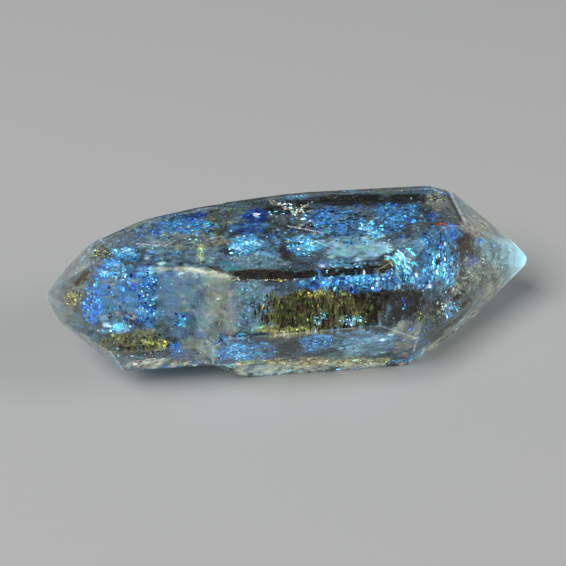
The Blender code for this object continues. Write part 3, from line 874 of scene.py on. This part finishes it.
def veil_depth(face):
    """How far below a place on the quartz's faces the outer veil runs: deeper at both ends."""
    along = face.x / MM
    clear_skin = 0.42 + 0.9 * eased(-along, *CLEAR_BLUNT_END) + 0.2 * eased(along, *CLEAR_SHARP_END)
    return (clear_skin + 0.16 * noise.noise(face * 900) + 0.07 * noise.noise(face * 3000)) * MM


def heart_depth(face):
    """How far below a place on the quartz's faces the smoky heart starts."""
    return (2.1 + 0.5 * noise.noise(face * 500)) * MM


def veil_base(place):
    """The veil's tint, cover and grain where nothing is laid on it."""
    return (*(np.array(HAZE) * (0.6 + 0.6 * noise.noise(place * 400))), 0.6, 0.7)


def heart_base(place):
    """The heart's tint, cover and grain: smoke, olive here and navy there."""
    mood = noise.noise(place * 350)
    smoke = np.array(SMOKE) * 0.7
    tint = smoke + np.array(OLIVE) * max(mood, 0) * 0.6 + np.array(NAVY) * max(-mood, 0) * 0.5
    return (*tint, 0.8, 0.7)


def skin_base(place):
    """The skin's tint, milk and grain: more milk towards both ends, and pale blue at the sharp tip. The milk
    is painted glow, and at the ends it also stands in for reflections.
    """
    along = place.x / MM
    ends = 0.25 * eased(-along, *MILKY_BLUNT_END) + 0.2 * eased(along, *MILKY_SHARP_END)
    tip = eased(along, *MILKY_TIP)
    tint = np.array(CHALK) * (1 - tip) + np.array(GLACIER) * tip
    return (*tint, 0.01 + ends + tip * 0.7, 0.5)


# How many sides an angular film has, and how wide its top is
PLATES = ((5, 0.7), (6, 0.5), (7, 0.8), (4, 0.6))
PLATE_HEIGHT = 0.3
MOTE_HEIGHT = 1.3


def form_of(create, *args):
    """Vertices and triangles of a small form made by a bmesh operator."""
    small = bmesh.new()
    create(small, *args)
    bmesh.ops.triangulate(small, faces=small.faces)
    small.verts.index_update()
    points = np.array([v.co for v in small.verts])
    faces = np.array([[v.index for v in f.verts] for f in small.faces])
    small.free()
    return points, faces


def plate(small, sides, top):
    """A thin angular film: a many-sided disc with a smaller top."""
    bmesh.ops.create_cone(small, cap_ends=True, segments=sides, radius1=1.0, radius2=top, depth=PLATE_HEIGHT)


def bead(small):
    """A rounded drop or bubble."""
    bmesh.ops.create_icosphere(small, subdivisions=1, radius=1.0)


def mote(small):
    """A grain of dust, and the form of the painted glints too: a three-sided spike."""
    bmesh.ops.create_cone(small, cap_ends=True, segments=3, radius1=1.0, radius2=0.0, depth=MOTE_HEIGHT)


def forms():
    """The forms of flakes, by name."""
    return {
        "plate": [form_of(plate, sides, top) for sides, top in PLATES],
        "bead": [form_of(bead)],
        "mote": [form_of(mote)],
    }


# How loosely flakes face and lie, their length, width and thickness, and how their light and hue vary
FACING_SPREAD = 0.5
LIE_SPREAD = 0.15
LONG_SHARES = (0.8, 1.4)
WIDE_SHARES = (0.5, 1.0)
PLATE_THICKNESS = 0.6
FLAKE_LIGHT = (0.3, 1.6)
HUE_SWINGS = ((0.6, 1.45), (0.75, 1.25), (0.75, 1.2))


def loose(rng, amount):
    """A small random vector."""
    return Vector((rng.gauss(0, amount), rng.gauss(0, amount), rng.gauss(0, amount)))


def glint(rng, least, more):
    """A brightness: mostly near the least, seldom high."""
    return least + more * rng.random() ** 2


def flake(rng, kind, shapes, place, facing, lie, stretch):
    """One flake as (piece, form, its three edges, place, tint)."""
    size = rng.uniform(*kind.size) * MM
    facing = (facing + loose(rng, FACING_SPREAD)).normalized()
    side = lie + loose(rng, LIE_SPREAD) if stretch > 1.0 else loose(rng, 1.0)
    side = (side - facing * side.dot(facing)).normalized()
    other = facing.cross(side)
    long = size * stretch * rng.uniform(*LONG_SHARES)
    wide = size * rng.uniform(*WIDE_SHARES)
    thick = size * (PLATE_THICKNESS if kind.form == "plate" else 1.0)
    tint = np.array(rng.choice(kind.tints)) * glint(rng, *FLAKE_LIGHT)
    tint *= [rng.uniform(*swing) for swing in HUE_SWINGS]
    edges = np.array([side * long, other * wide, facing * thick])
    return kind.piece, rng.choice(shapes[kind.form]), edges, place, tint


# A dab of tone reaches DAB_REACH mm. A patch's ragged outline is about OUTLINE of its reach, at most SPREAD.
DAB_REACH = 0.26
DABS_PER_MM2 = 16.0
RAGGED_TRIES = 6
SPREAD = 1.25
OUTLINE = 0.95
WASH_MARGIN = 0.1
WASH_RAGGED = 0.25
POCKET_RAGGED = 0.8


def sampled(rng, patch, ragged):
    """A pixel in the patch's turned ellipse, whose outline and inside are ragged."""
    turn = math.radians(patch.turn)
    for _ in range(RAGGED_TRIES):
        spread = math.sqrt(rng.random()) * SPREAD
        angle = rng.uniform(0, math.tau)
        along = math.cos(angle) * spread * patch.reach[0] / PIXEL
        across = math.sin(angle) * spread * patch.reach[1] / PIXEL
        px = patch.at[0] + along * math.cos(turn) - across * math.sin(turn)
        py = patch.at[1] - along * math.sin(turn) - across * math.cos(turn)
        limit = OUTLINE + ragged * noise.noise((px * 0.09, py * 0.13, patch.at[0]))
        clump = ragged * noise.noise((px * 0.3, py * 0.4, patch.at[1]))
        if spread < limit + clump:
            break
    return px, py


def lay_washes(quartz, surface, washes, rng, on_skin):
    """Blends broad tones into a painted surface, where the photograph shows them."""
    for wash in washes:
        value = np.array([*wash.tint, wash.cover, wash.grain])
        area = math.pi * (wash.reach[0] + WASH_MARGIN) * (wash.reach[1] + WASH_MARGIN)
        for _ in range(int(area * DABS_PER_MM2)):
            px, py = sampled(rng, wash, WASH_RAGGED)
            if on_skin:
                place = quartz.ray_cast(EYE, sight(px, py))[0]
            else:
                seen = look_in(quartz, px, py)
                place = surface.tree.ray_cast(seen[0], seen[1])[0] if seen else None
            if place is not None:
                surface.dab(place, DAB_REACH * MM, value)


# One flake in FLAKES_PER_DAB also dabs its tint on the veil. Flakes lie about the veil, in mm along the
# line of sight, but at least LEAST_DEPTH below the face and within DEEPEST_SHARE of the way through.
FLAKES_PER_DAB = 4
FLAKE_DAB_SHARE = 0.7
FLAKE_GRAIN = 0.8
MOTE_GRAIN = 0.15
ABOUT_VEIL = (-0.2, 0.12)
LEAST_DEPTH = 0.12
DEEPEST_SHARE = 0.8


def fill_pockets(quartz, veil, rng, shapes):
    """Tints the veil and scatters the flakes of each pocket."""
    found = []
    for pocket in POCKETS:
        kind = KINDS[pocket.kind]
        grain = MOTE_GRAIN if kind.form == "mote" else FLAKE_GRAIN
        lie = RIGHT * math.cos(math.radians(pocket.lie)) + UP * math.sin(math.radians(pocket.lie))
        for number in range(pocket.count):
            seen = look_in(quartz, *sampled(rng, pocket, POCKET_RAGGED))
            if seen is None:
                continue
            hit, inside, run = seen
            if pocket.rim is None:
                touch, _, _, run_to_veil = veil.tree.ray_cast(hit, inside)
                if touch is None:
                    continue
                if number % FLAKES_PER_DAB == 0:
                    value = np.array([*rng.choice(kind.tints), kind.cover, grain])
                    veil.dab(touch, DAB_REACH * MM * FLAKE_DAB_SHARE, value)
                depth = run_to_veil + rng.uniform(*ABOUT_VEIL) * MM
            else:
                depth = rng.uniform(*pocket.rim) * MM
            depth = min(max(depth, LEAST_DEPTH * MM), run * DEEPEST_SHARE)
            found.append(flake(rng, kind, shapes, hit + inside * depth, BACK, lie, pocket.stretch))
    return found


# Hidden sides: a broad tone and the flakes on it
HIDDEN_POCKETS = (
    (DENIM, "royal"),
    (DENIM, "sky"),
    (LAKE, "cyan"),
    (LAKE, "field"),
    (STEEL, "navy"),
    (HAZE, "haze"),
    (BEIGE, "beige"),
    (PALE, "pale"),
    (TEAL, "teal"),
    (STRAW, "gold"),
    (OLIVE, "olive"),
    (MOSS, "brown"),
    (SMOKE, "black"),
)
HIDDEN_COUNT = 160
HIDDEN_REACH = (0.4, 1.3)
HIDDEN_FLAKES_PER_MM2 = 60
HIDDEN_OFF_VEIL = (-0.2, 0.2)
FACING_AWAY = 0.05
CLEAR_BACK_FROM = 6.3
MIDDLE_REACH = 10.0

# Bright sparks, which are painted glints, and dark specks: how many, how thickly by the veil's grain, and in
# mm their size and place
SPARKS = 7000
SPECKS = 3500
SPARK_SHARE = 1.2
SPARK_GAIN = 3.5
SPARK_LIGHT = (0.4, 1.8)
SPARK_SIZE = (0.012, 0.034)
SPARK_SPREAD = 0.8
SPARK_OFF_VEIL = (-0.02, 0.22)


def scatter_sparks(veil, rng, shapes):
    """Pinpricks all over the veil, fewer where it is smooth: bright ones in its colour, which are painted
    glints, and dark ones.
    """
    found = []
    tints = veil.values[:, :3] / veil.weight[:, None]
    grains = veil.values[:, 4] / veil.weight
    for number in range(SPARKS + SPECKS):
        index = rng.randrange(len(veil.places))
        if rng.random() > grains[index] * SPARK_SHARE:
            continue
        bright = number < SPARKS
        tint = tints[index] * SPARK_GAIN if bright else np.array(BITUMEN_AND_SHADE)
        size = rng.uniform(*SPARK_SIZE) * MM
        place = veil.places[index] + veil.normals[index] * rng.uniform(*SPARK_OFF_VEIL) * MM
        edges = np.array([loose(rng, SPARK_SPREAD) for _ in range(3)]) * size
        tint = tint * glint(rng, *SPARK_LIGHT)
        found.append(("veil_dust" if bright else "bitumen", shapes["mote"][0], edges, place, tint))
    return found


def hidden_places(veil):
    """Which of the veil's corners the photograph doesn't look at, away from the ends and the top."""
    hidden = []
    for index, (place, normal) in enumerate(zip(veil.places, veil.normals)):
        along_the_middle = place.z < CLEAR_BACK_FROM * MM and abs(place.x) < MIDDLE_REACH * MM
        if normal.dot(BACK) < FACING_AWAY and along_the_middle:
            hidden.append(index)
    return hidden


def fill_hidden_sides(veil, rng, shapes):
    """Pockets of the same kinds where the photograph doesn't look."""
    found = []
    hidden = hidden_places(veil)
    for _ in range(HIDDEN_COUNT):
        centre = veil.places[rng.choice(hidden)]
        tone, name = rng.choice(HIDDEN_POCKETS)
        kind = KINDS[name]
        reach = rng.uniform(*HIDDEN_REACH) * MM
        about = veil.near.find_range(centre, reach)
        for _ in range(int(DABS_PER_MM2 * math.pi * (reach / MM) ** 2)):
            veil.dab(rng.choice(about)[0], DAB_REACH * MM, np.array([*tone, kind.cover, FLAKE_GRAIN]))
        for _ in range(int(HIDDEN_FLAKES_PER_MM2 * (reach / MM) ** 2)):
            place, index, _ = rng.choice(about)
            normal = veil.normals[index]
            place = place + normal * rng.uniform(*HIDDEN_OFF_VEIL) * MM
            found.append(flake(rng, kind, shapes, place, normal, RIGHT, 1.0))
    return found


def stamped(name, stamps, material):
    """One mesh of many small forms, each turned, sized and tinted."""
    points, faces, tints = [], [], []
    count = 0
    for form, edges, place, tint in stamps:
        corners, sides = form
        points.append(corners @ edges + np.array(place))
        faces.append(sides + count)
        tints.append(np.tile(np.append(tint, 1.0), (len(corners), 1)))
        count += len(corners)
    mesh = bpy.data.meshes.new(name)
    mesh.from_pydata(np.concatenate(points).tolist(), [], np.concatenate(faces).tolist())
    layer = mesh.attributes.new("tint", "FLOAT_COLOR", "POINT")
    layer.data.foreach_set("color", np.concatenate(tints).astype(np.float32).ravel())
    return new_object(name, mesh, material)


# Inclusions: the piece, its material's name, how much it glows, and how glossy it is
INCLUSIONS = (
    ("blue_oil", "fluorescent_blue_oil", 1.1, 0.1),
    ("pale_oil", "fluorescent_pale_oil", 1.4, 0.3),
    ("amber_oil", "amber_oil", 0.8, 0.05),
    ("bitumen", "brown_bitumen_and_shade", 0.3, 0.0),
    ("veil_dust", "pale_dust_and_glints", 0.9, 0.0),
)
# The veils' painted glow: they give off light in their own colours
VEIL_GLOW = 0.55
HEART_GLOW = 0.3
VEIL_FINENESS = 7
HEART_FINENESS = 6
VEIL_AXIS = 0.68                          # share of the crystal's length that its middle line takes
HEART_AXIS = 0.55
SKIN_HOLD = 0.3                           # weight of the base tone against a dab's
VEIL_HOLD = 0.05
HEART_HOLD = 1.0


def build_object():
    """The crystal's skin, in place of the CAD solid, and what is sealed inside."""
    rng = random.Random(SEED)
    form = crystal_form()
    quartz = BVHTree.FromBMesh(form)
    form.free()
    skin = Painted(striate(rng), skin_base, SKIN_HOLD)
    veil = Painted(inner_form(quartz, VEIL_FINENESS, veil_depth, VEIL_AXIS), veil_base, VEIL_HOLD)
    heart = Painted(inner_form(quartz, HEART_FINENESS, heart_depth, HEART_AXIS), heart_base, HEART_HOLD)
    lay_washes(quartz, skin, SKIN_WASHES, rng, True)
    lay_washes(quartz, veil, VEIL_WASHES, rng, False)
    shapes = forms()
    stamps = fill_pockets(quartz, veil, rng, shapes)
    stamps += fill_hidden_sides(veil, rng, shapes)
    stamps += scatter_sparks(veil, rng, shapes)
    body = skin.piece("quartz_body", quartz_material())
    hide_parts("quartz_crystal")
    pieces = [
        body,
        veil.piece("outer_veil", veil_material("cloudy_veil", VEIL_GLOW)),
        heart.piece("smoky_heart", veil_material("smoky_veil", HEART_GLOW)),
    ]
    for name, material_name, glow, gloss in INCLUSIONS:
        material = inclusion_material(material_name, glow, gloss)
        pieces.append(stamped(name, [s[1:] for s in stamps if s[0] == name], material))
    for piece in pieces:
        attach(piece, "root")


# Lights: the place and size in metres, and the power in watts
LIGHTS = (
    ("key_light", (-0.30, -0.22, 0.42), (0.34, 0.34), 2.6),
    ("side_light", (0.45, -0.12, 0.26), (0.24, 0.24), 0.8),
    ("low_back_light", (0.0, 0.75, 0.05), (1.4, 0.09), 0.45),
)
FLOOR_HALF = 2.0
FLOOR_DROP = 0.03
STUDIO_TINT = (0.5, 0.55, 0.6, 1.0)
STUDIO_STRENGTH = 0.17
FAR = 10.0


def area_light(name, place, size, power):
    """A soft rectangular light that looks at the crystal."""
    light = bpy.data.lights.new(name, "AREA")
    light.shape = "RECTANGLE"
    light.size, light.size_y = size
    light.energy = power
    lamp = bpy.data.objects.new(name, light)
    lamp.location = place
    lamp.rotation_euler = Vector(place).to_track_quat("Z", "Y").to_euler()
    bpy.context.scene.collection.objects.link(lamp)


def build_stage():
    """Pale floor, soft lights and dim surroundings."""
    small = bmesh.new()
    bmesh.ops.create_grid(small, x_segments=1, y_segments=1, size=FLOOR_HALF)
    bmesh.ops.translate(small, verts=small.verts, vec=(0, 0, -FLOOR_DROP * MM))
    mesh = bpy.data.meshes.new("floor")
    small.to_mesh(mesh)
    small.free()
    floor = new_object("floor", mesh, floor_material())
    for light in LIGHTS:
        area_light(*light)
    world = bpy.data.worlds.new("dim_studio")
    world.use_nodes = True
    background = world.node_tree.nodes["Background"]
    background.inputs["Color"].default_value = STUDIO_TINT
    background.inputs["Strength"].default_value = STUDIO_STRENGTH
    bpy.context.scene.world = world


def build_camera():
    """The camera, where the photograph was taken from."""
    camera = bpy.data.cameras.new("photo_view")
    camera.lens = LENS
    camera.sensor_width = SENSOR
    camera.clip_start = 1 * MM
    camera.clip_end = FAR
    eye = bpy.data.objects.new("photo_view", camera)
    turn = Matrix((RIGHT, UP, BACK)).transposed().to_4x4()
    eye.matrix_world = Matrix.Translation(EYE) @ turn
    bpy.context.scene.collection.objects.link(eye)
    bpy.context.scene.camera = eye


build_object()
build_stage()
build_camera()
bpy.context.scene.view_settings.view_transform = "Standard"
bpy.context.scene.cycles.transparent_max_bounces = 16
